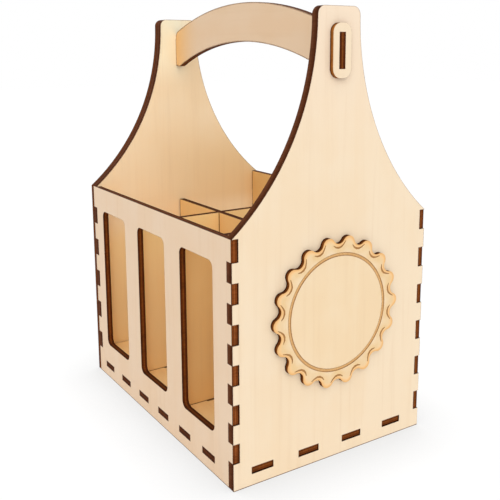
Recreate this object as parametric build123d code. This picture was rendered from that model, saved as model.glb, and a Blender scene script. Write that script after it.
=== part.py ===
from build123d import *
from math import cos, radians, sin, sqrt
import os

# Bottle caddy for six bottles, laser cut from plywood sheets and glued.
# Frame: +X points to the end with the crown cap plate, +Z is up, and the
# origin lies on the table under the middle of the caddy.

# Sheets
sheet = 5.0
thick_sheet = 6.5
thin_sheet = 3.5

# Box
box_length = 243.8
box_width = 170.7
side_height = 174.9
fit_gap = 0.1
tab_recess = 1.0

# End panels
end_height = 322.2
neck_width = 36.0
neck_corner_radius = 5.8
end_tab_margin = 17.2
end_tab_shift = -2.6
end_tab_count = 4

# Finger joints at the corners
front_left_foot = 19.9
front_left_top_tab = 15.3
front_right_foot = 14.5
front_right_top_tab = 14.6
rear_foot_tab = 23.6
rear_top_tab = 18.9
finger_count = 5

# Side panels
window_post_width = 25.0
window_count = 3
window_bottom = 31.8
window_top_margin = 19.6
window_radius = 5.3
side_tab_margin = 22.5
side_tab_shift = -2.9
side_tab_count = 6

# Base, floor and dividers
base_clearance = 8.6
base_tab_width = 17.7
floor_gap = 0.7
divider_drop = 19.8
divider_tab_width = 35.0
divider_slot_gap = 1.5
divider_gap = 0.7
rear_divider_shift = -1.5

# Handle
handle_peak = 330.9
handle_depth = 30.2
handle_radius = 318.0
handle_corner_radius = 5.3
tenon_height = 24.0
tenon_middle = 292.9
washer_width = 15.6
washer_height = 36.5
washer_radius = 6.4

# Crown cap plate
crown_middle = 111.2
crown_peak_radius = 55.3
crown_valley_radius = 49.8
crown_lobe_radius = 5.2
crown_lobes = 18

# Places that follow from the sizes
front_face = box_length / 2
rear_outside = -front_face
rear_face = rear_outside + sheet
front_inside = front_face - thick_sheet
rear_inside = rear_face + thick_sheet
inner_middle = (front_inside + rear_inside) / 2
side_face = box_width / 2
side_inside = side_face - sheet
base_top = base_clearance + sheet
floor_middle = base_top + sheet
floor_top = floor_middle + thick_sheet
window_top = side_height - window_top_margin
window_width = (box_length - (window_count + 1) * window_post_width) / window_count
window_pitch = window_width + window_post_width
neck_side = neck_width / 2
neck_top = end_height - neck_corner_radius
tenon_bottom = tenon_middle - tenon_height / 2
tenon_top = tenon_middle + tenon_height / 2
divider_top = side_height - divider_drop
divider_half_height = (divider_top - floor_top) / 2
cut_overrun = sheet


def rectangle_between(left, right, bottom, top):
    """A rectangle given by its four sides."""
    middle = Pos((left + right) / 2, (bottom + top) / 2)
    return middle * Rectangle(right - left, top - bottom)


def sheet_across(outline, x_start, thickness):
    """A sheet square to X, from an outline drawn in Y and Z."""
    plane = Plane(origin=(x_start, 0, 0), x_dir=(0, 1, 0), z_dir=(1, 0, 0))
    return extrude(plane * outline, thickness)


def sheet_along(outline, y_start, thickness):
    """A sheet square to Y, from an outline drawn in X and Z."""
    plane = Plane(origin=(0, y_start + thickness, 0), x_dir=(1, 0, 0), z_dir=(0, -1, 0))
    return extrude(plane * outline, thickness)


def sheet_flat(outline, z_start, thickness):
    """A sheet that lies flat, from an outline drawn in X and Y."""
    return extrude(Plane.XY.offset(z_start) * outline, thickness)


def row(count, pitch):
    """Places of equal pitch, centred on zero."""
    return [(index - (count - 1) / 2) * pitch for index in range(count)]


def tab_row(count, length, margin):
    """Middles of a row of base tabs whose outer ends keep a margin from the ends of a length."""
    return row(count, (length - 2 * margin - base_tab_width) / (count - 1))


def side_tabs():
    return [side_tab_shift + x for x in tab_row(side_tab_count, box_length, side_tab_margin)]


def end_tabs():
    return [end_tab_shift + y for y in tab_row(end_tab_count, box_width, end_tab_margin)]


def arc_through(centre, radius, start_angle, end_angle):
    """An arc about a centre, between two angles in degrees."""
    angles = (start_angle, (start_angle + end_angle) / 2, end_angle)
    points = [(centre[0] + radius * cos(radians(a)), centre[1] + radius * sin(radians(a))) for a in angles]
    return ThreePointArc(*points)


# Finger joints

def front_fingers(foot, top_tab):
    """Heights taken by the front panel's fingers: a foot, then even ones up to the side panel's top tab."""
    step = (side_height - foot - top_tab) / (2 * finger_count)
    starts = [foot + step * (2 * index + 1) for index in range(finger_count)]
    return [(0, foot)] + [(start, start + step) for start in starts]


def rear_fingers():
    """Heights taken by the rear panel's fingers, between the side panel's foot and top tabs."""
    step = (side_height - rear_foot_tab - rear_top_tab) / (2 * finger_count - 1)
    starts = [rear_foot_tab + 2 * step * index for index in range(finger_count)]
    return [(start, start + step) for start in starts]


def between_fingers(fingers):
    """Heights taken by the side panel's tabs: all that the fingers leave free."""
    edges = [0] + [height for finger in fingers for height in finger] + [side_height]
    gaps = zip(edges[0::2], edges[1::2])
    return [(low, high) for low, high in gaps if high > low]


# End panels

def end_outline():
    """Box front, concave shoulders and a neck with rounded corners."""
    rise = neck_top - side_height
    run = side_face - neck_side
    shoulder_radius = (rise**2 + run**2) / (2 * run)
    middle = shoulder_radius - sqrt(shoulder_radius**2 - (rise / 2) ** 2)
    half = [
        Line((0, 0), (side_face, 0)),
        Line((side_face, 0), (side_face, side_height)),
        ThreePointArc(
            (side_face, side_height),
            (neck_side + middle, neck_top - rise / 2),
            (neck_side, neck_top),
        ),
        arc_through((neck_side - neck_corner_radius, neck_top), neck_corner_radius, 0, 90),
        Line((neck_side - neck_corner_radius, end_height), (0, end_height)),
    ]
    right = Curve() + half
    return make_face((right + mirror(right, Plane.YZ)).edges())


def handle_mortise():
    return rectangle_between(
        -sheet / 2 - fit_gap, sheet / 2 + fit_gap, tenon_bottom - fit_gap, tenon_top + fit_gap
    )


def front_left_fingers():
    return front_fingers(front_left_foot, front_left_top_tab)


def front_right_fingers():
    return front_fingers(front_right_foot, front_right_top_tab)


def end_panel(x_start, left_fingers, right_fingers):
    outline = end_outline() - handle_mortise()
    for side, fingers in ((-1, left_fingers), (1, right_fingers)):
        for low, high in between_fingers(fingers):
            bottom = low - fit_gap if low > 0 else -cut_overrun
            top = high + fit_gap if high < side_height else side_height
            edges = sorted((side * side_inside, side * (side_face + cut_overrun)))
            outline -= rectangle_between(edges[0], edges[1], bottom, top)
    for y in end_tabs():
        outline -= base_mortise(y)
    return sheet_across(outline, x_start, thick_sheet)


def base_mortise(middle):
    """A slot in a wall for one tab of the base."""
    half = base_tab_width / 2 + fit_gap
    return rectangle_between(middle - half, middle + half, base_clearance - fit_gap, base_top + fit_gap)


def front_end_panel():
    return end_panel(front_inside, front_left_fingers(), front_right_fingers())


def rear_end_panel():
    return end_panel(rear_face, rear_fingers(), rear_fingers())


def rear_facing_panel():
    return sheet_across(end_outline() - handle_mortise(), rear_outside, sheet)


# Side panels

def side_panel(y_start, fingers_in_front):
    outline = rectangle_between(rear_face, front_face - tab_recess, 0, side_height)
    for low, high in fingers_in_front:
        outline -= rectangle_between(front_inside, front_face, low, high)
    for low, high in rear_fingers():
        outline -= rectangle_between(rear_face, rear_inside, low, high)
    window = RectangleRounded(window_width, window_top - window_bottom, window_radius)
    for x in row(window_count, window_pitch):
        outline -= Pos(x, (window_top + window_bottom) / 2) * window
    for x in side_tabs():
        outline -= base_mortise(x)
    return sheet_along(outline, y_start, sheet)


def left_side_panel():
    return side_panel(-side_face, front_left_fingers())


def right_side_panel():
    return side_panel(side_inside, front_right_fingers())


# Base and floor

def base_panel():
    outline = rectangle_between(rear_inside, front_inside, -side_inside, side_inside)
    half = base_tab_width / 2
    for x in side_tabs():
        outline += rectangle_between(x - half, x + half, -side_face, side_face)
    for y in end_tabs():
        outline += rectangle_between(rear_face, front_face - tab_recess, y - half, y + half)
    return sheet_flat(outline, base_clearance, sheet)


def cross_tab_places():
    """Middle of each row of cells, where a cross divider has its tabs."""
    middle = (side_inside + sheet / 2) / 2
    return (-middle, middle)


def cross_divider_places():
    """A cross divider stands behind each post between two windows, the rear one a little aside."""
    places = row(window_count - 1, window_pitch)
    return [places[0] + rear_divider_shift] + places[1:]


def long_tab_places():
    """Middle of each column of cells, where the long divider has its tabs."""
    walls = [rear_inside - sheet / 2] + cross_divider_places() + [front_inside + sheet / 2]
    return [(first + second) / 2 for first, second in zip(walls, walls[1:])]


def floor_plate(z_start, thickness):
    outline = rectangle_between(
        rear_inside + floor_gap, front_inside - floor_gap, -side_inside + floor_gap, side_inside - floor_gap
    )
    slot_length = divider_tab_width + 2 * fit_gap
    slot_width = sheet + 2 * divider_slot_gap
    for x in long_tab_places():
        outline -= Pos(x, 0) * Rectangle(slot_length, slot_width)
    for x in cross_divider_places():
        for y in cross_tab_places():
            outline -= Pos(x, y) * Rectangle(slot_width, slot_length)
    return sheet_flat(outline, z_start, thickness)


def lower_floor_plate():
    return floor_plate(base_top, sheet)


def upper_floor_plate():
    return floor_plate(floor_middle, thick_sheet)


# Dividers

def long_divider():
    outline = rectangle_between(
        rear_inside + divider_gap, front_inside - divider_gap, floor_top, divider_top
    )
    for x in long_tab_places():
        half = divider_tab_width / 2
        outline += rectangle_between(x - half, x + half, base_top, floor_top)
    for x in cross_divider_places():
        half = sheet / 2 + fit_gap
        outline -= rectangle_between(
            x - half, x + half, floor_top - cut_overrun, floor_top + divider_half_height + fit_gap
        )
    return sheet_along(outline, -sheet / 2, sheet)


def cross_divider(x_middle):
    outline = rectangle_between(
        -side_inside + divider_gap, side_inside - divider_gap, floor_top, divider_top
    )
    for y in cross_tab_places():
        half = divider_tab_width / 2
        outline += rectangle_between(y - half, y + half, base_top, floor_top)
    half = sheet / 2 + fit_gap
    outline -= rectangle_between(-half, half, divider_top - divider_half_height, divider_top + cut_overrun)
    return sheet_across(outline, x_middle - sheet / 2, sheet)


def rear_cross_divider():
    return cross_divider(cross_divider_places()[0])


def front_cross_divider():
    return cross_divider(cross_divider_places()[1])


# Handle and its washers

def handle():
    """An arched plate between the end panels, with a tenon through each."""
    centre = (inner_middle, handle_peak - handle_radius)
    inner_radius = handle_radius - handle_depth
    ring = Pos(*centre) * (Circle(handle_radius) - Circle(inner_radius))
    span = rectangle_between(rear_inside, front_inside, side_height, handle_peak + cut_overrun)
    arch = ring & span
    arch = fillet(arch.vertices(), handle_corner_radius)
    rear_end = rear_outside - thin_sheet
    front_end = front_face + thin_sheet
    for start, end in ((rear_end, rear_inside), (front_inside, front_end)):
        root = sheet / 2
        reach = (start, end + root) if start == rear_end else (start - root, end)
        arch += rectangle_between(reach[0], reach[1], tenon_bottom, tenon_top)
    return sheet_along(arch, -sheet / 2, sheet)


def washer(x_start):
    ring = Pos(0, tenon_middle) * RectangleRounded(washer_width, washer_height, washer_radius)
    return sheet_across(ring - handle_mortise(), x_start, thin_sheet)


def front_handle_washer():
    return washer(front_face)


def rear_handle_washer():
    return washer(rear_outside - thin_sheet)


# Crown cap plate

def crown_outline():
    """A rim of round lobes and round valleys, each arc tangent to the next."""
    half_step = 360 / crown_lobes / 2
    lobe_centre = crown_peak_radius - crown_lobe_radius
    reach = lobe_centre * cos(radians(half_step))
    valley_radius = (
        lobe_centre**2 + crown_valley_radius**2 - 2 * reach * crown_valley_radius - crown_lobe_radius**2
    ) / (2 * (crown_lobe_radius - crown_valley_radius + reach))
    valley_centre = crown_valley_radius + valley_radius
    joint_share = crown_lobe_radius / (crown_lobe_radius + valley_radius)
    edges = []
    for index in range(crown_lobes):
        angle = 2 * half_step * index
        lobe = polar(lobe_centre, angle)
        before = polar(valley_centre, angle - half_step)
        after = polar(valley_centre, angle + half_step)
        start = between(lobe, before, joint_share)
        end = between(lobe, after, joint_share)
        next_lobe = polar(lobe_centre, angle + 2 * half_step)
        next_start = between(next_lobe, after, joint_share)
        edges.append(ThreePointArc(start, polar(crown_peak_radius, angle), end))
        edges.append(ThreePointArc(end, polar(crown_valley_radius, angle + half_step), next_start))
    return make_face((Curve() + edges).edges())


def polar(radius, angle):
    return (radius * cos(radians(angle)), radius * sin(radians(angle)))


def between(first, second, share):
    return tuple(a + (b - a) * share for a, b in zip(first, second))


def crown_cap_plate():
    return sheet_across(Pos(0, crown_middle) * crown_outline(), front_face, thin_sheet)


makers = (
    front_end_panel,
    rear_end_panel,
    rear_facing_panel,
    left_side_panel,
    right_side_panel,
    base_panel,
    lower_floor_plate,
    upper_floor_plate,
    long_divider,
    front_cross_divider,
    rear_cross_divider,
    handle,
    front_handle_washer,
    rear_handle_washer,
    crown_cap_plate,
)

os.makedirs("parts", exist_ok=True)
for maker in makers:
    piece = maker()
    piece.label = maker.__name__
    export_step(piece, f"parts/{maker.__name__}.step")
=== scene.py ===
import math

import bmesh
import bpy
from mathutils import Matrix, Vector


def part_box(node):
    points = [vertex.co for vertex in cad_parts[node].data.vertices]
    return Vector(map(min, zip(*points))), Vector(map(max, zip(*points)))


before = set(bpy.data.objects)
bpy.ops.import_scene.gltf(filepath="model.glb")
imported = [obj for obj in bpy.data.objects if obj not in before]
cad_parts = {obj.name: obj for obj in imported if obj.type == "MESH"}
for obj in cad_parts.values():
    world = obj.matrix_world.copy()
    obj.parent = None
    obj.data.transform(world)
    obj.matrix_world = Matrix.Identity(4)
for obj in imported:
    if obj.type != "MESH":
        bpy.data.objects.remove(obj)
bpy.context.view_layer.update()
scene = bpy.context.scene
scene.view_settings.view_transform = "Standard"

# Sizes that follow the CAD source, in millimetres
MM = 0.001
SHEET = 5.0
END_SHEET = 6.5
THIN_SHEET = 3.5
DIVIDER_GAP = 0.7
FRONT_FACE = 121.9
SIDE_FACE = 85.35
REAR_OUTSIDE = -FRONT_FACE
REAR_FACE = REAR_OUTSIDE + SHEET
REAR_INSIDE = REAR_FACE + END_SHEET
FRONT_INSIDE = FRONT_FACE - END_SHEET
SIDE_INSIDE = SIDE_FACE - SHEET
FLOOR_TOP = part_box("upper_floor_plate")[1][2] / MM
CROSS_DIVIDERS = ("rear_cross_divider", "front_cross_divider")
CELL_WALLS = [corner[0] / MM for node in CROSS_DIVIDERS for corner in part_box(node)]

# Crown cap plate: its middle, its rim's mean radius, and how far the lobes leave that
CROWN_MIDDLE = 111.2
CROWN_VALLEYS = 18
CROWN_STEP = 360 / CROWN_VALLEYS
CROWN_RIM = 52.5
CROWN_WAVE = 2.8

# Its engraving: a ring, and in each valley a curved line, as angles from the valley and radii
ENGRAVE_DEPTH = 0.3
WELD_REACH = 0.01
RING_RADIUS = 42.2
RING_WIDTH = 2.3
RING_POINTS = 120
FLUTE_LINE = ((5.8, 49.1), (3.4, 47.6), (0.6, 47.1), (-2.2, 47.6), (-4.6, 49.4), (-6.6, 51.8))
FLUTE_WIDTHS = (0.4, 1.05, 1.4, 1.25, 0.9, 0.4)

# Camera, from the outline of the caddy in the photograph: degrees, metres, and
# millimetres for the lens and sensor
CAMERA_AZIMUTH = 57.381
CAMERA_ELEVATION = 10.090
CAMERA_ROLL = -0.294
CAMERA_PLACE = (0.51334, -0.32164, 0.29074)
CAMERA_LENS = 53.48
CAMERA_SENSOR = 36.0
CAMERA_SHIFT = (0.0, -0.127)
CAMERA_CLIP = (0.01, 50.0)

# Light: each lamp's direction, level, and width in degrees
LAMPS = {
    "key_softbox": ((0.75, -0.35, 0.56), 0.36, 60),
    "top_softbox": ((-0.1, -0.1, 1.0), 0.20, 70),
}
WORLD_LIGHT = 0.63
BACKDROP_LIGHT = 1.0
WHITE = (1, 1, 1, 1)

# Floor, in metres: what the camera sees, what it throws back, and its shade near the caddy
FLOOR_HALF = 6.0
FLOOR_GLOW = 0.90
FLOOR_SHADE = 0.12
FLOOR_BOUNCE = 0.80
CONTACT_SHADE = 0.34
CONTACT_REACH = 0.055
CONTACT_SAMPLES = 8

# Colours of the faces, as red, green and blue out of 255
BIRCH = (248, 227, 197)
# Painted shade: the side panels' outer faces are a slightly darker copy of the birch
SIDE_BIRCH = (244, 217, 188)
# Faces inside the box, the dividers and the floor plates are warmer copies of the birch, painted
# warm bounce light and shade
INNER_BIRCH = (254, 229, 191)
INNER_SIDE = (239, 200, 136)
DIVIDER_BIRCH = (251, 217, 158)
FRONT_DIVIDER = (242, 203, 141)
LONG_DIVIDER = (246, 203, 138)
HANDLE_BIRCH = (238, 208, 175)
CROWN_BIRCH = (246, 222, 186)

# Colours laid over them: grain, painted light and shade of the place, smoke stain, and a painted
# highlight along the crown's rim
WARM_TONE = (250, 238, 220)
STREAK = (214, 176, 132)
FIBRE = (190, 146, 102)
CORNER_SHADE = (240, 206, 156)
TOP_PAINTED_LIGHT = (251, 230, 205)
CELL_PAINTED_LIGHT = (255, 224, 168)
CELL_TOP_PAINTED_LIGHT = (255, 223, 161)
NECK_PAINTED_LIGHT = (255, 244, 212)
HANDLE_PAINTED_SHADE = (242, 190, 122)
STAIN = (239, 184, 118)
# Smoke stain with a painted highlight along the crown's rim
STAIN_AND_HIGHLIGHT = (255, 205, 142)
WIDE_GLOW = (236, 196, 132)

# Colours of cut and engraved wood
ENGRAVED = (228, 184, 128)
ENGRAVED_DARK = (214, 164, 104)
FLUTE_BROWN = (160, 104, 50)
CHAR = (46, 16, 0)
CHAR_LINE = (96, 50, 16)
# Soot, also used as painted shade on edges that face upwards
SOOT_AND_SHADE = (40, 15, 2)

# Burnt edges: the lighter veneer, the darker one, and the glue between them. The four sets are
# copies of one burnt edge, lighter on lit tab ends and darker on edges in shade: painted light and
# shade
EDGE_LIT = ((156, 84, 36), (134, 68, 24), (92, 40, 8))
EDGE_BROWN = ((138, 74, 28), (120, 60, 18), (84, 36, 6))
EDGE_MIDDLE = ((132, 70, 22), (92, 40, 6), (64, 24, 2))
EDGE_DARK = ((98, 48, 14), (84, 36, 8), (54, 19, 0))

# Their bands, as shares of the thickness: the charred rims, the blends into rims and
# glue lines, and how far a band strays
PLIES = 3
CHAR_BAND = 0.06
CHAR_BLEND = 0.11
GLUE_BLEND = 0.16 / PLIES
PLY_WANDER = 0.06

# Patterns, over millimetres: scale, detail, roughness and distortion of each noise
IN_MM = (1000.0, 1000.0, 1000.0)
ALONG_GRAIN = 0.035
ALONG_CUT = 0.08
WIDE_NOISE = (0.022, 4.0, 0.6, 1.2)
STREAK_NOISE = (0.16, 5.0, 0.62, 0.6)
FIBRE_NOISE = (1.7, 3.0, 0.7)
MOTTLE_NOISE = (0.03, 2.0)
BEAM_NOISE = (1.5, 3.0, 0.7)
SOOT_NOISE = (0.12, 4.0)
SMOKE_NOISE = (0.10, 3.0)
RASTER_NOISE = (1.1, 3.0)
WIDE_PART = 0.6
MOTTLE_PART = 0.4
NOISE_MIDDLE = 0.5
PATTERN_STEP = (17.3, 9.1, 5.7)
SMOKE_SHIFT = (3.0, 5.0, 7.0)
RASTER_SHIFT = (1.0, 2.0, 3.0)

# Where a value takes effect: its low and high end, and the share at each of them
FACE_TURN = (0.6, 0.8)
SIDE_TURN = (-0.1, 0.1)
WARM_SHARE = (0.42, 0.64, 0.0, 0.30)
STREAK_SHARE = (0.50, 0.78, 0.0, 0.16)
FIBRE_SHARE = (0.62, 0.80, 0.0, 0.13)
BEAM_SHARE = (0.35, 0.70, 0.0, 0.35)
SOOT_SHARE = (0.45, 0.75, 0.0, 0.35)
# Painted shade on edges that face upwards
UPWARD_SHADE_SHARE = (0.5, 0.95, 0.0, 0.42)
RIM_BREAKS = (0.30, 0.60, 0.75, 0.95)
RASTER_SHARE = (0.35, 0.65)
SMOKE_SHARE = (0.35, 0.65, 0.45, 1.0)
SUNK_SHARE = (0.955, 0.975, 1.0, 0.0)

# The same for distances in millimetres
ENDS_BLEND = 0.3
# Painted shade: how far along the handle from the rear panel its warm shade reaches
SHADED_ROOT = 44
JOINT_SHARE = (0.30, 0.80, 0.9, 0.0)
WIDE_GLOW_SHARE = (5.0, 12.5, 0.60, 0.0)
# Smoke stain with a painted highlight, in from the crown's rim
STAIN_AND_HIGHLIGHT_SHARE = (1.0, 4.5, 0.72, 0.0)
STAIN_SHARE = (0.2, 2.4, 0.80, 0.0)
OFF_RING_SHARE = (0.4, 0.95, 0.0, 0.66)
INNER_SHARE = (SIDE_FACE - 3, SIDE_FACE - 2, 1.0, 0.0)

# Burnt rim: the turn of the rounded normal at which it ends, and its fading towards the foot
RIM_END = 0.975
RIM_FADE = 25
RIM_LOW = 0.35
RIM_SAMPLES = 6

# Surface: roughness of faces and edges over their noise, gloss, and the bump in metres
FACE_ROUGHNESS = (0.3, 0.7, 0.52, 0.66)
EDGE_ROUGHNESS = (0.3, 0.7, 0.72, 0.90)
SPECULAR_LEVEL = 0.10
BUMP_STRENGTH = 0.25
BUMP_DEPTH = 0.0002
STREAK_RELIEF = 0.5
FIBRE_RELIEF = 0.5


def linear(colour):
    """A written colour as the linear values that a shader takes."""
    values = [c / 255 for c in colour]
    return [v / 12.92 if v <= 0.04045 else ((v + 0.055) / 1.055) ** 2.4 for v in values] + [1.0]


class Nodes:
    """Short ways to add nodes to the tree of a material or world."""

    def __init__(self, owner):
        owner.use_nodes = True
        self.tree = owner.node_tree
        self.tree.nodes.clear()

    def add(self, kind, inputs=(), **settings):
        node = self.tree.nodes.new(kind)
        for key, value in settings.items():
            setattr(node, key, value)
        for key, value in dict(inputs).items():
            self.feed(node.inputs[key], value)
        return node

    def feed(self, socket, value):
        if isinstance(value, bpy.types.NodeSocket):
            self.tree.links.new(value, socket)
        else:
            socket.default_value = value

    def math(self, operation, first, second=0.0, third=0.0, clamp=False):
        inputs = {0: first, 1: second, 2: third}
        return self.add("ShaderNodeMath", inputs, operation=operation, use_clamp=clamp).outputs[0]

    def times(self, first, second):
        return self.math("MULTIPLY", first, second)

    def spread(self, value, low, high, out_low=0.0, out_high=1.0, smooth=True):
        """A value carried from one range to another, held at the ends."""
        kind = "SMOOTHSTEP" if smooth else "LINEAR"
        inputs = {0: value, 1: low, 2: high, 3: out_low, 4: out_high}
        return self.add("ShaderNodeMapRange", inputs, interpolation_type=kind).outputs[0]

    def spread_mm(self, length, low, high, out_low=0.0, out_high=1.0):
        """The same for a length, with the first range in millimetres."""
        return self.spread(length, low * MM, high * MM, out_low, out_high)

    def mix(self, share, first, second, blend="MIX"):
        node = self.add("ShaderNodeMix", data_type="RGBA", blend_type=blend)
        self.feed(node.inputs[0], share)
        self.feed(node.inputs[6], first)
        self.feed(node.inputs[7], second)
        return node.outputs[2]

    def mix_values(self, share, first, second):
        inputs = {0: share, 2: first, 3: second}
        return self.add("ShaderNodeMix", inputs, data_type="FLOAT").outputs[0]

    def noise(self, vector, scale, detail=3.0, roughness=0.55, distortion=0.0):
        inputs = {"Vector": vector, "Scale": scale, "Detail": detail}
        inputs.update({"Roughness": roughness, "Distortion": distortion})
        return self.add("ShaderNodeTexNoise", inputs).outputs[0]

    def ramp(self, value, stops):
        node = self.add("ShaderNodeValToRGB", {0: value})
        elements = node.color_ramp.elements
        while len(elements) < len(stops):
            elements.new(0.5)
        for element, (place, colour) in zip(elements, stops):
            element.position = place
            element.color = linear(colour)
        return node.outputs[0]

    def stretched(self, vector, shift, axis=0, factor=1.0):
        """Coordinates in millimetres, drawn out along an axis and moved by a shift."""
        factors = list(IN_MM)
        factors[axis] *= factor
        inputs = {"Vector": vector, "Scale": factors, "Location": shift}
        return self.add("ShaderNodeMapping", inputs).outputs[0]


class Plywood(Nodes):
    """A material of birch plywood, with faint grain on its faces and laser-burnt edges.

    axis is the one across the sheet, start the place on it where the edge's stops
    begin, and grain the axis along the grain. A negative thickness turns the stops
    round. seed moves the patterns, so that no two sheets share one.
    """

    def __init__(self, name, axis, start, thickness, grain, seed):
        self.material = bpy.data.materials.new(name)
        super().__init__(self.material)
        self.axis = axis
        self.grain = grain
        self.shift = tuple(seed * step for step in PATTERN_STEP)
        self.place = self.add("ShaderNodeTexCoord").outputs["Object"]
        self.parts = self.add("ShaderNodeSeparateXYZ", {0: self.place}).outputs
        self.normal = self.add("ShaderNodeNewGeometry").outputs["Normal"]
        self.turned = self.add("ShaderNodeSeparateXYZ", {0: self.normal}).outputs
        facing = self.math("ABSOLUTE", self.turned[axis])
        self.is_face = self.spread(facing, *FACE_TURN)
        per_sheet = 1 / (thickness * MM)
        self.depth = self.math("MULTIPLY_ADD", self.parts[axis], per_sheet, -start / thickness)
        self.beam = self.noise(self.stretched(self.place, self.shift, axis, ALONG_CUT), *BEAM_NOISE)
        self.soot = self.noise(self.stretched(self.place, self.shift), *SOOT_NOISE)

    def paint_face(self, tone, back, tints):
        """Broad tone, tints of painted light and shade, streaks and short fibres, all drawn out
        along the grain.
        """
        streaked = self.stretched(self.place, self.shift, self.grain, ALONG_GRAIN)
        wide = self.noise(streaked, *WIDE_NOISE)
        self.streak = self.noise(streaked, *STREAK_NOISE)
        self.fibre = self.noise(streaked, *FIBRE_NOISE)
        mottled = self.noise(self.stretched(self.place, self.shift), *MOTTLE_NOISE)
        # Each face of a sheet takes its own tone; the copies for side faces and for faces inside
        # the box hold painted shade and bounce light
        high_side = self.spread(self.turned[self.axis], *SIDE_TURN)
        face = self.mix(high_side, linear(back), linear(tone))
        warm = self.math("ADD", self.times(wide, WIDE_PART), self.times(mottled, MOTTLE_PART))
        warmed = self.mix(1.0, face, linear(WARM_TONE), blend="MULTIPLY")
        face = self.mix(self.spread(warm, *WARM_SHARE), face, warmed)
        # Tints: painted light and shade laid over the face
        for colour, ranges in tints:
            share = 1.0
            for across, *limits in ranges:
                share = self.times(self.spread_mm(self.parts[across], *limits), share)
            face = self.mix(share, face, linear(colour))
        face = self.mix(self.spread(self.streak, *STREAK_SHARE), face, linear(STREAK))
        return self.mix(self.spread(self.fibre, *FIBRE_SHARE), face, linear(FIBRE))

    def paint_edge(self, edge, ends, end_edge):
        """Veneer bands of the cut edge, fine lines left by the beam, soot, and painted shade on
        edges that face upwards.
        """
        wander = self.math("SUBTRACT", self.beam, NOISE_MIDDLE)
        wander = self.math("MULTIPLY_ADD", wander, PLY_WANDER, self.depth)
        burnt = self.ramp(wander, edge)
        # Painted light: tab ends take a lighter copy of the edge
        if ends:
            reach = self.math("ABSOLUTE", self.parts[0])
            at_end = self.spread_mm(reach, ends - ENDS_BLEND, ends)
            burnt = self.mix(at_end, burnt, self.ramp(wander, end_edge))
        burnt = self.mix(self.spread(self.beam, *BEAM_SHARE), burnt, linear(CHAR))
        burnt = self.mix(self.spread(self.soot, *SOOT_SHARE), burnt, linear(SOOT_AND_SHADE))
        # Painted shade: edges that face upwards, such as the window sills, darken
        return self.mix(self.spread(self.turned[2], *UPWARD_SHADE_SHARE), burnt, linear(SOOT_AND_SHADE))

    def draw_rim(self, face, line, full, rim_from):
        """A thin burnt line where a face meets a cut edge."""
        rounded = self.add("ShaderNodeBevel", {"Radius": line * MM}, samples=RIM_SAMPLES).outputs[0]
        vectors = {0: rounded, 1: self.normal}
        turn = self.add("ShaderNodeVectorMath", vectors, operation="DOT_PRODUCT").outputs["Value"]
        rim = self.spread(turn, full, RIM_END, 1.0, 0.0)
        rim = self.times(rim, self.spread(self.soot, *RIM_BREAKS))
        if rim_from:
            rise = (rim_from, rim_from + RIM_FADE, RIM_LOW, 1.0)
            rim = self.times(rim, self.spread_mm(self.parts[2], *rise))
        return self.mix(rim, face, linear(CHAR_LINE))

    def joint_line(self, across, where):
        """A mask for the dark line along a joint, to each side of its place."""
        near = self.math("ABSOLUTE", self.math("SUBTRACT", self.parts[across], where * MM))
        return self.spread_mm(near, *JOINT_SHARE)

    def draw_joints(self, face, joints, inner_joints):
        """Dark lines where another sheet meets the face."""
        for across, where in joints:
            face = self.mix(self.joint_line(across, where), face, linear(CHAR_LINE))
        for across, where in inner_joints:
            out = self.math("ABSOLUTE", self.parts[self.axis])
            inner = self.spread_mm(out, *INNER_SHARE)
            share = self.times(self.joint_line(across, where), inner)
            face = self.mix(share, face, linear(CHAR_LINE))
        return face

    def finish(self, colour):
        """The shader with its roughness and bump."""
        face_rough = self.spread(self.streak, *FACE_ROUGHNESS, smooth=False)
        edge_rough = self.spread(self.beam, *EDGE_ROUGHNESS, smooth=False)
        rough = self.mix_values(self.is_face, edge_rough, face_rough)
        streaks = self.times(self.streak, STREAK_RELIEF)
        fibres = self.times(self.fibre, FIBRE_RELIEF)
        face_height = self.math("ADD", streaks, fibres)
        height = self.mix_values(self.is_face, self.beam, face_height)
        relief = {"Strength": BUMP_STRENGTH, "Distance": BUMP_DEPTH, "Height": height}
        bump = self.add("ShaderNodeBump", relief).outputs[0]
        inputs = {"Base Color": colour, "Roughness": rough, "Normal": bump}
        inputs["Specular IOR Level"] = SPECULAR_LEVEL
        shader = self.add("ShaderNodeBsdfPrincipled", inputs).outputs[0]
        self.add("ShaderNodeOutputMaterial", {0: shader})
        return self.material


def ply_stops(tones):
    """Stops of the burnt edge's bands: a dark rim, then veneers parted by glue lines."""
    light, dark, glue = tones
    stops = [(0.0, CHAR), (CHAR_BAND, CHAR)]
    for index in range(PLIES):
        low, high = index / PLIES, (index + 1) / PLIES
        tone = light if index % 2 else dark
        stops.append((max(low + GLUE_BLEND, CHAR_BLEND), tone))
        stops.append((min(high - GLUE_BLEND, 1 - CHAR_BLEND), tone))
        if index < PLIES - 1:
            stops.append((high, glue))
    return stops + [(1 - CHAR_BAND, CHAR), (1.0, CHAR)]


PLAIN_EDGE = ply_stops(EDGE_MIDDLE)
DIVIDER_EDGE = ply_stops(EDGE_DARK)
LIT_ENDS = ply_stops(EDGE_LIT)
BROWN_ENDS = ply_stops(EDGE_BROWN)

# Edges of the end panels, from the inner side to the outer one, a darker copy with painted shade
SHADED_END_EDGE = (
    (0.0, (92, 48, 26)), (0.10, (116, 68, 42)), (0.22, (102, 56, 30)), (0.26, (80, 38, 14)),
    (0.30, (110, 62, 34)), (0.47, (100, 52, 26)), (0.51, (70, 30, 8)), (0.56, (94, 46, 14)),
    (0.72, (86, 40, 8)), (0.76, (58, 21, 0)), (0.81, (82, 36, 4)), (0.94, (74, 30, 0)),
    (1.0, (60, 22, 0)),
)

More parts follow.
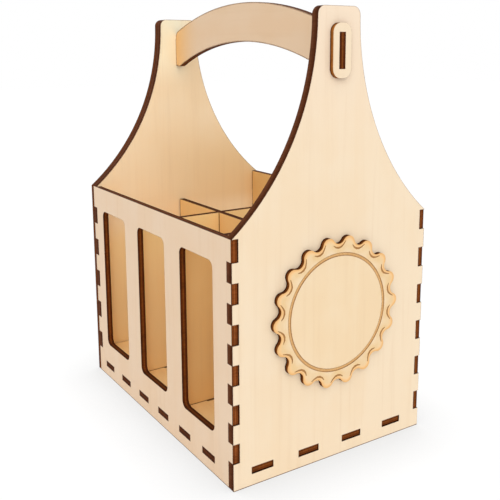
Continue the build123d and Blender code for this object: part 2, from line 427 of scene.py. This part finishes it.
# Edges of the thin plates: charred, and dark with painted shade in the crease where they are glued
# down, tan at their faces
CROWN_EDGE = (
    (0.0, CHAR), (0.22, (58, 22, 0)), (0.38, (104, 50, 6)), (0.80, (128, 72, 22)),
    (0.94, (166, 104, 46)), (1.0, (214, 158, 100)),
)
WASHER_EDGE = (
    (0.0, CHAR), (0.14, (96, 42, 4)), (0.40, (150, 88, 28)), (0.85, (178, 114, 50)),
    (1.0, (224, 164, 104)),
)


def plywood(
    name, axis, start, thickness, grain, seed, tone=BIRCH, back=None, edge=PLAIN_EDGE,
    ends=None, end_edge=None, joints=(), inner_joints=(), tints=(), rim_from=None,
    line=0.55, full=0.84,
):
    """A plywood tree and the colour of its surface.

    back is the tone of the face towards the axis's low end, edge the stops of the
    cut edge, and end_edge those beyond the distance ends along X; tones and edges
    that differ between faces and parts of one wood hold painted light and shade.
    joints are axes and places where a dark joint line crosses both faces, and
    inner_joints those on a side panel's inner face. tints are colours of painted
    light and shade that the face takes, each with the axes and ranges over which
    its share changes. line is the reach of the burnt rim, full how sharply it
    stands out, and rim_from the height where it is strong.
    """
    n = Plywood(name, axis, start, thickness, grain, seed)
    face = n.paint_face(tone, back or tone, tints)
    burnt = n.paint_edge(edge, ends, end_edge)
    face = n.draw_rim(face, line, full, rim_from)
    face = n.draw_joints(face, joints, inner_joints)
    return n, n.mix(n.is_face, burnt, face)


def sheet_material(name, **facts):
    n, colour = plywood(name, **facts)
    return n.finish(colour)


def crown_material():
    """The crown cap plate: smoke-stained rim with a painted highlight band, engraved lines tan at
    the bottom.
    """
    n, colour = plywood(
        "crown_plywood", axis=0, start=FRONT_FACE, thickness=THIN_SHEET, grain=2, seed=9,
        tone=CROWN_BIRCH, edge=CROWN_EDGE, line=0.5,
    )
    rise = n.math("SUBTRACT", n.parts[2], CROWN_MIDDLE * MM)
    squares = n.math("ADD", n.times(n.parts[1], n.parts[1]), n.times(rise, rise))
    radius = n.math("SQRT", squares)

    # The stain and the painted highlight follow the lobes of the rim
    turn = n.times(n.math("ARCTAN2", rise, n.parts[1]), float(CROWN_VALLEYS))
    rim = n.math("MULTIPLY_ADD", n.math("COSINE", turn), CROWN_WAVE * MM, CROWN_RIM * MM)
    inward = n.math("SUBTRACT", rim, radius)
    smoke = n.noise(n.stretched(n.place, SMOKE_SHIFT), *SMOKE_NOISE)
    wide_glow = n.times(n.spread_mm(inward, *WIDE_GLOW_SHARE), n.spread(smoke, *SMOKE_SHARE))
    glow = n.spread_mm(inward, *STAIN_AND_HIGHLIGHT_SHARE)
    stain = n.spread_mm(inward, *STAIN_SHARE)
    for share, tone in ((wide_glow, WIDE_GLOW), (glow, STAIN_AND_HIGHLIGHT), (stain, STAIN)):
        colour = n.mix(n.times(share, n.is_face), colour, linear(tone))

    # Engraved where a face lies below the plate's own, browner off the ring's middle line
    sunk = n.times(n.is_face, n.spread(n.depth, *SUNK_SHARE))
    raster = n.noise(n.stretched(n.place, RASTER_SHIFT), *RASTER_NOISE)
    floor = n.mix(n.spread(raster, *RASTER_SHARE), linear(ENGRAVED), linear(ENGRAVED_DARK))
    off_ring = n.math("ABSOLUTE", n.math("SUBTRACT", radius, RING_RADIUS * MM))
    floor = n.mix(n.spread_mm(off_ring, *OFF_RING_SHARE), floor, linear(FLUTE_BROWN))
    return n.finish(n.mix(sunk, colour, floor))


# Joint lines, as axes and places
GROUND = ((2, 0.0),)
CORNERS = ((0, REAR_INSIDE), (0, FRONT_INSIDE))
ALONG = ((2, FLOOR_TOP), (0, REAR_INSIDE + DIVIDER_GAP), *((0, wall) for wall in CELL_WALLS))
ACROSS = ((2, FLOOR_TOP), (1, -SHEET / 2), (1, SHEET / 2))

# Tints of painted light and shade, as colours with axes, low and high ends, and the share at each
# of them
# Painted light: the front panel grows lighter towards its top
FRONT_TINTS = ((TOP_PAINTED_LIGHT, ((2, 200, 330, 0.0, 0.9),)),)
REAR_TINTS = (
    # Painted shade: the rear panel's inner face darker and warmer towards the corner by the right
    # side wall
    (CORNER_SHADE, ((1, -85, 80, 0.05, 1.0), (2, 138, 158, 0.0, 1.0), (2, 185, 240, 1.0, 0.0))),
    # Painted light: a lighter, paler patch on the rear panel's neck beside the handle
    (NECK_PAINTED_LIGHT, ((1, -60, -10, 0.2, 1.0), (1, -8, 30, 1.0, 0.0), (2, 258, 294, 0.0, 1.0))),
    # Painted light: a brighter, yellower tone low down inside the cells
    (CELL_PAINTED_LIGHT, ((2, 115, 150, 1.0, 0.0),)),
)
# Painted light: the rear cross divider brighter and yellower towards its top
CROSS_TINTS = ((CELL_TOP_PAINTED_LIGHT, ((2, 115, 150, 0.0, 1.0),)),)
# Painted warm shade and bounce light on the handle next to the rear panel
HANDLE_SHADE_TINTS = ((HANDLE_PAINTED_SHADE, ((0, REAR_INSIDE, REAR_INSIDE + SHADED_ROOT, 0.84, 0.0),)),)

# What each node's plywood is like; a start of None is read from the node's box
PLAIN = dict(thickness=SHEET, grain=2)
END = dict(
    axis=0, thickness=END_SHEET, grain=2, edge=SHADED_END_EDGE, joints=GROUND, rim_from=25.0, line=0.95,
)
SIDE = dict(PLAIN, axis=1, ends=FRONT_INSIDE, joints=GROUND, inner_joints=CORNERS)
DIVIDER = dict(PLAIN, tone=DIVIDER_BIRCH, edge=DIVIDER_EDGE, line=0.8)
CROSS_DIVIDER = dict(DIVIDER, axis=0, start=None, joints=ACROSS)
FLAT = dict(axis=2, start=None, grain=0)
FLOOR = dict(FLAT, tone=DIVIDER_BIRCH, line=1.1)
WASHER = dict(axis=0, grain=2, edge=WASHER_EDGE, line=0.4)
SHEETS = {
    "front_end_panel": dict(END, start=FRONT_INSIDE, back=INNER_BIRCH, tints=FRONT_TINTS),
    "rear_end_panel": dict(
        END, start=REAR_FACE, tone=INNER_BIRCH, tints=REAR_TINTS, line=1.2, full=0.93,
    ),
    "rear_facing_panel": dict(PLAIN, axis=0, start=REAR_OUTSIDE, joints=GROUND),
    "left_side_panel": dict(
        SIDE, start=-SIDE_FACE, tone=INNER_SIDE, back=SIDE_BIRCH, end_edge=LIT_ENDS,
    ),
    "right_side_panel": dict(
        SIDE, start=SIDE_INSIDE, tone=SIDE_BIRCH, back=INNER_SIDE, end_edge=BROWN_ENDS,
    ),
    "base_panel": dict(FLAT, edge=DIVIDER_EDGE, ends=FRONT_INSIDE, end_edge=BROWN_ENDS),
    "lower_floor_plate": FLOOR,
    "upper_floor_plate": FLOOR,
    "long_divider": dict(DIVIDER, axis=1, start=-SHEET / 2, joints=ALONG, tone=LONG_DIVIDER),
    "front_cross_divider": dict(CROSS_DIVIDER, tone=FRONT_DIVIDER),
    "rear_cross_divider": dict(CROSS_DIVIDER, tints=CROSS_TINTS),
    "handle": dict(
        axis=1, start=-SHEET / 2, thickness=SHEET, grain=0, tone=HANDLE_BIRCH,
        tints=HANDLE_SHADE_TINTS, line=2.1, full=0.93,
    ),
    "front_handle_washer": dict(WASHER, start=FRONT_FACE, thickness=THIN_SHEET),
    "rear_handle_washer": dict(WASHER, start=REAR_OUTSIDE, thickness=-THIN_SHEET),
}


def assign(node, material):
    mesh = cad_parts[node].data
    mesh.materials.clear()
    mesh.materials.append(material)


def dress_sheets():
    for seed, (node, facts) in enumerate(SHEETS.items(), start=1):
        facts = dict(facts)
        if facts["start"] is None:
            low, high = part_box(node)
            facts["start"] = low[facts["axis"]] / MM
            facts["thickness"] = (high - low)[facts["axis"]] / MM
        assign(node, sheet_material(f"{node}_plywood", seed=seed, **facts))


def polar_point(angle, radius):
    turned = math.radians(angle)
    return Vector((0, radius * math.cos(turned), radius * math.sin(turned)))


def ring_pairs():
    """Inner and outer points of the engraved ring."""
    half = RING_WIDTH / 2
    angles = [index * 360 / RING_POINTS for index in range(RING_POINTS)]
    return [
        (polar_point(angle, RING_RADIUS - half), polar_point(angle, RING_RADIUS + half))
        for angle in angles
    ]


def flute_pairs(valley):
    """Points to the left and right of the engraved line in the valley at an angle."""
    centres = [polar_point(valley + angle, radius) for angle, radius in FLUTE_LINE]
    pairs = []
    for index, (centre, width) in enumerate(zip(centres, FLUTE_WIDTHS)):
        before = centres[max(index - 1, 0)]
        after = centres[min(index + 1, len(centres) - 1)]
        along = (after - before).normalized()
        aside = Vector((0, -along.z, along.y)) * width / 2
        pairs.append((centre + aside, centre - aside))
    return pairs


def add_groove(cutter, pairs, closed):
    """A shallow prism along a line, given by its left and right points."""
    x_low = FRONT_FACE + THIN_SHEET - ENGRAVE_DEPTH
    x_high = FRONT_FACE + THIN_SHEET + ENGRAVE_DEPTH
    sections = []
    for left, right in pairs:
        corners = [(x_low, left), (x_low, right), (x_high, right), (x_high, left)]
        places = [Vector((x, p.y, p.z + CROWN_MIDDLE)) * MM for x, p in corners]
        sections.append([cutter.verts.new(place) for place in places])
    count = len(sections)
    for index in range(count if closed else count - 1):
        first, second = sections[index], sections[(index + 1) % count]
        for side in range(4):
            turn = (side + 1) % 4
            cutter.faces.new((first[side], first[turn], second[turn], second[side]))
    if not closed:
        cutter.faces.new(sections[0][::-1])
        cutter.faces.new(sections[-1])


def engrave_crown():
    """Cuts the ring and the flute lines into the plate's face."""
    cutter = bmesh.new()
    add_groove(cutter, ring_pairs(), closed=True)
    for index in range(CROWN_VALLEYS):
        add_groove(cutter, flute_pairs(CROWN_STEP * (index + 0.5)), closed=False)
    bmesh.ops.recalc_face_normals(cutter, faces=cutter.faces)
    mesh = bpy.data.meshes.new("crown_engraving_cutter")
    cutter.to_mesh(mesh)
    cutter.free()
    tool = bpy.data.objects.new("crown_engraving_cutter", mesh)
    scene.collection.objects.link(tool)
    tool.hide_render = True
    tool.hide_viewport = True
    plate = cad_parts["crown_cap_plate"]
    weld = plate.modifiers.new("weld", "WELD")
    weld.merge_threshold = WELD_REACH * MM
    boolean = plate.modifiers.new("engrave", "BOOLEAN")
    boolean.operation = "DIFFERENCE"
    boolean.solver = "EXACT"
    boolean.object = tool


def add_camera():
    azimuth = math.radians(CAMERA_AZIMUTH)
    elevation = math.radians(CAMERA_ELEVATION)
    roll = math.radians(CAMERA_ROLL)
    level = math.cos(elevation)
    back = Vector((math.sin(azimuth) * level, -math.cos(azimuth) * level, math.sin(elevation)))
    right = (-back).cross(Vector((0, 0, 1))).normalized()
    up = right.cross(-back)
    right, up = (
        math.cos(roll) * right + math.sin(roll) * up,
        math.cos(roll) * up - math.sin(roll) * right,
    )
    data = bpy.data.cameras.new("camera")
    data.sensor_width = CAMERA_SENSOR
    data.lens = CAMERA_LENS
    data.shift_x, data.shift_y = CAMERA_SHIFT
    data.clip_start, data.clip_end = CAMERA_CLIP
    camera = bpy.data.objects.new("camera", data)
    scene.collection.objects.link(camera)
    turn = Matrix((right, up, back)).transposed().to_4x4()
    camera.matrix_world = Matrix.Translation(Vector(CAMERA_PLACE)) @ turn
    scene.camera = camera


def seen_directly(n):
    """1 for camera, glossy and transmission rays, 0 for the light that falls on the object."""
    path = n.add("ShaderNodeLightPath").outputs
    either = n.math("ADD", path["Is Camera Ray"], path["Is Glossy Ray"], clamp=True)
    return n.math("ADD", either, path["Is Transmission Ray"], clamp=True)


def mix_shaders(n, first, second):
    """The first shader for the light that falls on the object, the second for what is seen."""
    return n.add("ShaderNodeMixShader", {0: seen_directly(n), 1: first, 2: second}).outputs[0]


def grey(level):
    return (level, level, level, 1)


def add_floor():
    mesh = bpy.data.meshes.new("floor")
    half = FLOOR_HALF
    corners = [(-half, -half, 0), (half, -half, 0), (half, half, 0), (-half, half, 0)]
    mesh.from_pydata(corners, [], [(0, 1, 2, 3)])
    floor = bpy.data.objects.new("floor", mesh)
    scene.collection.objects.link(floor)
    material = bpy.data.materials.new("floor_white")
    n = Nodes(material)
    bounce = n.add("ShaderNodeBsdfDiffuse", {"Color": grey(FLOOR_BOUNCE)}).outputs[0]
    shade = n.add("ShaderNodeBsdfDiffuse", {"Color": grey(FLOOR_SHADE)}).outputs[0]
    reach = {"Distance": CONTACT_REACH}
    near = n.add("ShaderNodeAmbientOcclusion", reach, samples=CONTACT_SAMPLES).outputs["AO"]
    strength = n.math("MULTIPLY_ADD", near, CONTACT_SHADE, FLOOR_GLOW - CONTACT_SHADE)
    glow = n.add("ShaderNodeEmission", {"Color": WHITE, "Strength": strength}).outputs[0]
    seen = n.add("ShaderNodeAddShader", {0: shade, 1: glow}).outputs[0]
    n.add("ShaderNodeOutputMaterial", {0: mix_shaders(n, bounce, seen)})
    mesh.materials.append(material)


def add_world():
    scene.world = bpy.data.worlds.new("studio")
    n = Nodes(scene.world)
    light, white = (
        n.add("ShaderNodeBackground", {"Color": WHITE, "Strength": strength}).outputs[0]
        for strength in (WORLD_LIGHT, BACKDROP_LIGHT)
    )
    n.add("ShaderNodeOutputWorld", {0: mix_shaders(n, light, white)})


def add_lights():
    """Broad, soft lamps as far away as the sky, so that their light is even over the floor."""
    for name, (towards, level, width) in LAMPS.items():
        data = bpy.data.lights.new(name, "SUN")
        data.energy = level * math.pi
        data.angle = math.radians(width)
        lamp = bpy.data.objects.new(name, data)
        scene.collection.objects.link(lamp)
        lamp.rotation_mode = "QUATERNION"
        lamp.rotation_quaternion = Vector(towards).to_track_quat("Z", "Y")


dress_sheets()
engrave_crown()
assign("crown_cap_plate", crown_material())
add_camera()
add_floor()
add_world()
add_lights()
